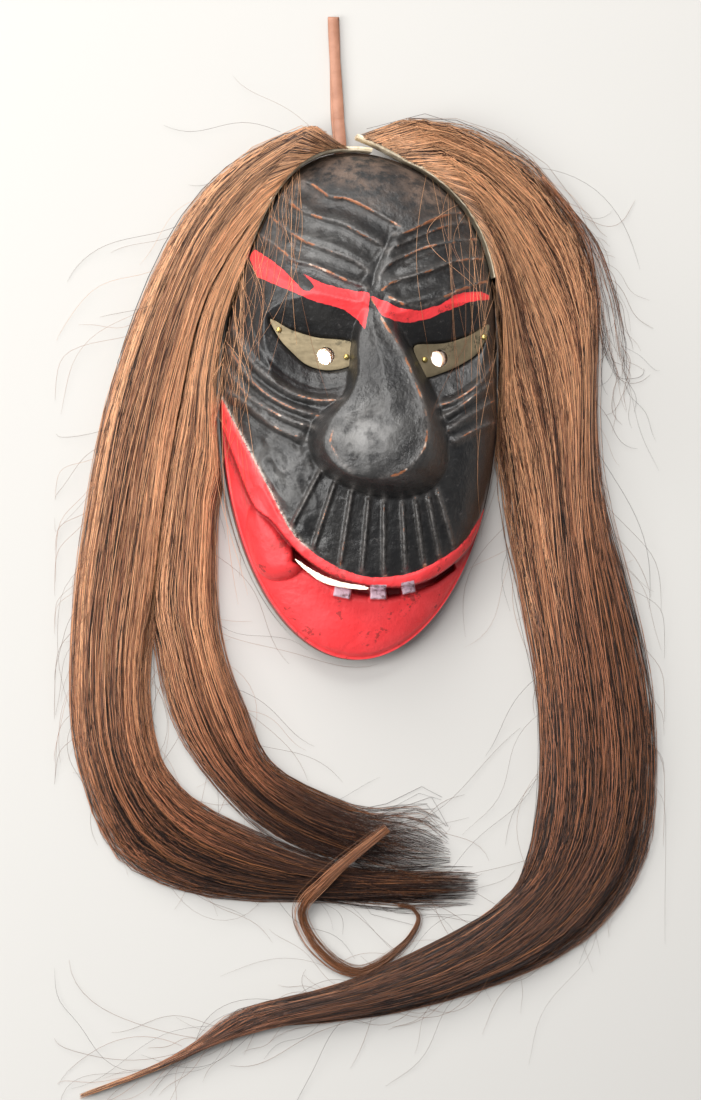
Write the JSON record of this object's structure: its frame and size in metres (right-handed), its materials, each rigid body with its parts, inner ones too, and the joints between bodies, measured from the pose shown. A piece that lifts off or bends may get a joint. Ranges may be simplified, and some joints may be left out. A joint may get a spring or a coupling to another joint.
{
  "type": "carved face mask",
  "caption": "Hollow carved wooden face mask with a bent nose, sheet-metal eyes with sight holes, a crooked open mouth, long horsehair and a leather hanging loop, lying on its back.",
  "frame": {"origin": "on the ground, under the middle of the whole object's box", "axes": "+Z out of the face, +Y from the chin to the forehead, +X to the picture's right"},
  "size_m": [0.3148, 0.5952, 0.0969],
  "materials": {
    "painted_wood": "worn black and red paint over carved wood",
    "sheet_metal": "dull tarnished sheet",
    "brass_tacks": "worn tack heads",
    "rawhide": "pale dry hide",
    "horsehair": "long loose hair, light brown to near black",
    "leather": "smooth tan lace"
  },
  "bodies": {
    "root": {"mask": "painted_wood", "eye_plate_left": "sheet_metal", "eye_plate_right": "sheet_metal", "tack_left_1": "brass_tacks", "tack_left_2": "brass_tacks", "tack_right_1": "brass_tacks", "tack_right_2": "brass_tacks", "hide_strip_left": "rawhide", "hide_strip_right": "rawhide", "hair_left_outer": "horsehair", "hair_left_inner": "horsehair", "hair_right": "horsehair", "hair_right_stray": "horsehair", "hair_loop_strand": "horsehair", "hanging_lace": "leather"}
  },
  "joints": []
}
